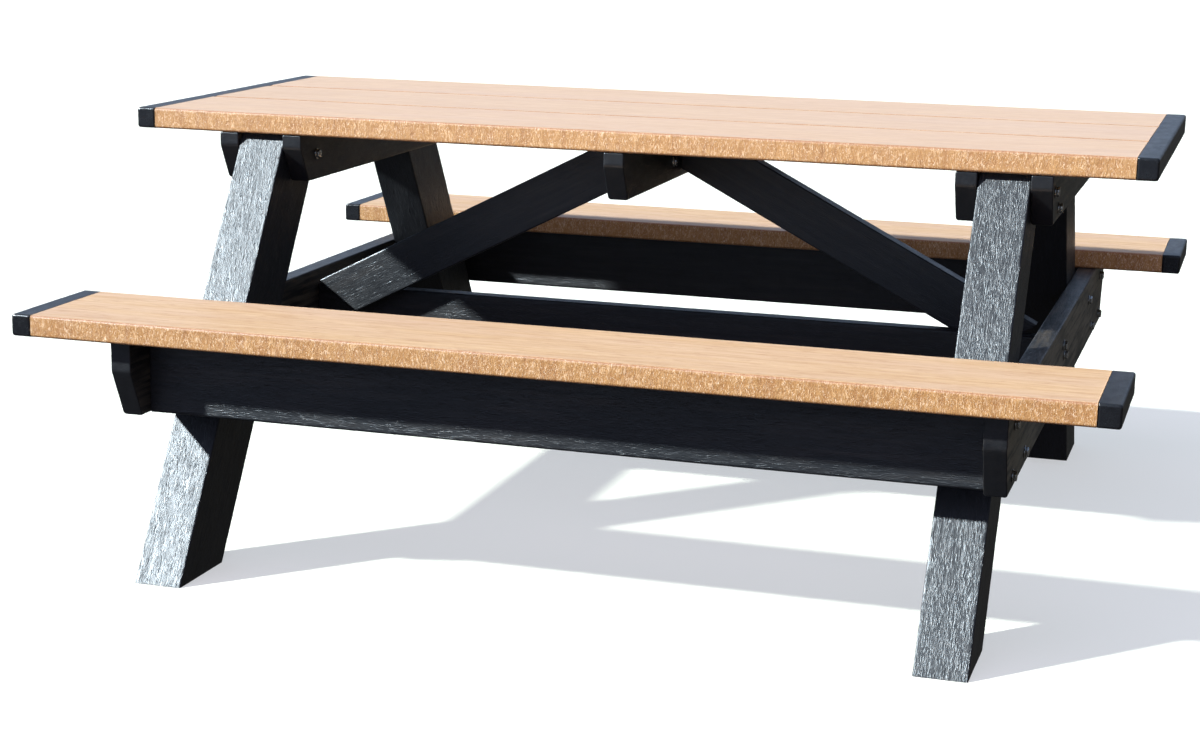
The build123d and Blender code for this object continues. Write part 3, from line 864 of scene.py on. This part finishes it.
floor = plain_surface(
    "floor",
    [(x * FLOOR_HALF, y * FLOOR_HALF, 0) for x, y in ((-1, -1), (1, -1), (1, 1), (-1, 1))],
    [(0, 1, 2, 3)],
    base=(0.47, 0.53, 0.46, 1), roughness=0.9, specular=0.1, glow=0.5, hidden_from=("diffuse", "glossy"))

ring_turns = [2 * pi * i / RING_SIDES for i in range(RING_SIDES)]
backdrop = plain_surface(
    "backdrop",
    [(RING_RADIUS * cos(t), RING_RADIUS * sin(t), z) for z in (RING_LOW, RING_HIGH) for t in ring_turns],
    [(i, (i + 1) % RING_SIDES, (i + 1) % RING_SIDES + RING_SIDES, i + RING_SIDES) for i in range(RING_SIDES)],
    base=(0, 0, 0, 1), roughness=0.5, specular=0.0, glow=1.0,
    hidden_from=("diffuse", "glossy", "shadow", "transmission"))

# ---- Light: a sky that is open towards -X and dim towards +X, a sun and a soft fill ----
SIDE_FROM, SIDE_TO = -0.05, 0.40
# Each stop is a height, from 0 straight down to 1 straight up, and the sky's colour there.
OPEN_SKY = ((0.00, (0.04, 0.04, 0.04, 1)), (0.47, (0.07, 0.07, 0.07, 1)), (0.51, (0.80, 1.00, 1.34, 1)),
            (0.58, (0.64, 0.82, 1.14, 1)), (0.70, (0.25, 0.33, 0.48, 1)), (1.00, (0.19, 0.27, 0.42, 1)))
DIM_SIDE = ((0.00, (0.05, 0.047, 0.043, 1)), (0.44, (0.095, 0.091, 0.078, 1)),
            (0.50, (0.14, 0.136, 0.118, 1)), (0.56, (0.20, 0.22, 0.25, 1)),
            (0.70, (0.22, 0.28, 0.38, 1)), (1.00, (0.19, 0.27, 0.42, 1)))


def studio_sky():
    world = bpy.data.worlds.new("studio")
    bpy.context.scene.world = world
    world.use_nodes = True
    nodes, join = world.node_tree.nodes, world.node_tree.links.new
    nodes.clear()
    background = nodes.new("ShaderNodeBackground")
    parts = nodes.new("ShaderNodeSeparateXYZ")
    height = nodes.new("ShaderNodeMapRange")
    height.inputs["From Min"].default_value = -1
    sideways = nodes.new("ShaderNodeMapRange")
    sideways.interpolation_type = "SMOOTHSTEP"
    sideways.inputs["From Min"].default_value = SIDE_FROM
    sideways.inputs["From Max"].default_value = SIDE_TO
    blend = nodes.new("ShaderNodeMix")
    blend.data_type = "RGBA"
    join(nodes.new("ShaderNodeTexCoord").outputs["Generated"], parts.inputs[0])
    join(parts.outputs["Z"], height.inputs["Value"])
    join(parts.outputs["X"], sideways.inputs["Value"])
    join(sideways.outputs[0], blend.inputs[Nodes.MIX_FACTOR])
    join(blend.outputs[Nodes.MIX_RESULT], background.inputs["Color"])
    join(background.outputs[0], nodes.new("ShaderNodeOutputWorld").inputs["Surface"])
    for socket, stops in ((Nodes.MIX_FIRST, OPEN_SKY), (Nodes.MIX_SECOND, DIM_SIDE)):
        colours = nodes.new("ShaderNodeValToRGB")
        elements = colours.color_ramp.elements
        while len(elements) < len(stops):
            elements.new(0.5)
        for element, (place, colour) in zip(elements, stops):
            element.position = place
            element.color = colour
        join(height.outputs[0], colours.inputs[0])
        join(colours.outputs[0], blend.inputs[socket])


TOWARDS_SUN, SUN_SPREAD = (-0.707, -0.437, 0.508), 2.2
TOWARDS_FILL, FILL_SPREAD = (-0.15, -0.80, 0.58), 100
SUN_ENERGY, SUN_COLOUR = 9.0, (1.0, 0.97, 0.92)
SPARKLE_ENERGY, SPARKLE_COLOUR = 13.0, (0.66, 0.86, 1.0)
FILL_ENERGY, FILL_COLOUR = 1.5, (1.0, 0.72, 1.0)


def sun_lamp(name, energy, colour, towards=TOWARDS_SUN, spread=SUN_SPREAD):
    """A lamp of parallel light, from the given direction and as many degrees across as its spread."""
    data = bpy.data.lights.new(name, "SUN")
    data.energy = energy
    data.angle = radians(spread)
    data.color = colour
    lamp = placed(name, data)
    lamp.rotation_euler = Vector(towards).to_track_quat("Z", "Y").to_euler()
    return lamp


studio_sky()
sun_lamp("key", SUN_ENERGY, SUN_COLOUR)
sun_lamp("key_sparkle", SPARKLE_ENERGY, SPARKLE_COLOUR).visible_diffuse = False
sun_lamp("fill", FILL_ENERGY, FILL_COLOUR, TOWARDS_FILL, FILL_SPREAD).visible_glossy = False

# ---- Camera, where the photograph was taken from ----
SENSOR_WIDTH, LENS = 36, 68.26
SHIFT_X, SHIFT_Y = 0.0284, 0.0366
CLIP_END = 200
CAMERA_PLACE = Vector((1.1263, -4.1199, 1.2011))
CAMERA_FORWARD, CAMERA_UP = Vector((-0.29745, 0.92643, -0.23075)), Vector((-0.08476, 0.21511, 0.97290))

camera_data = bpy.data.cameras.new("camera")
camera_data.sensor_width = SENSOR_WIDTH
camera_data.lens = LENS
camera_data.shift_x = SHIFT_X
camera_data.shift_y = SHIFT_Y
camera_data.clip_end = CLIP_END
camera = placed("camera", camera_data)
forward = CAMERA_FORWARD.normalized()
right = forward.cross(CAMERA_UP).normalized()
turned = Matrix((right, right.cross(forward), -forward)).transposed()
camera.matrix_world = Matrix.Translation(CAMERA_PLACE) @ turned.to_4x4()
bpy.context.scene.camera = camera
bpy.context.scene.view_settings.view_transform = "Standard"
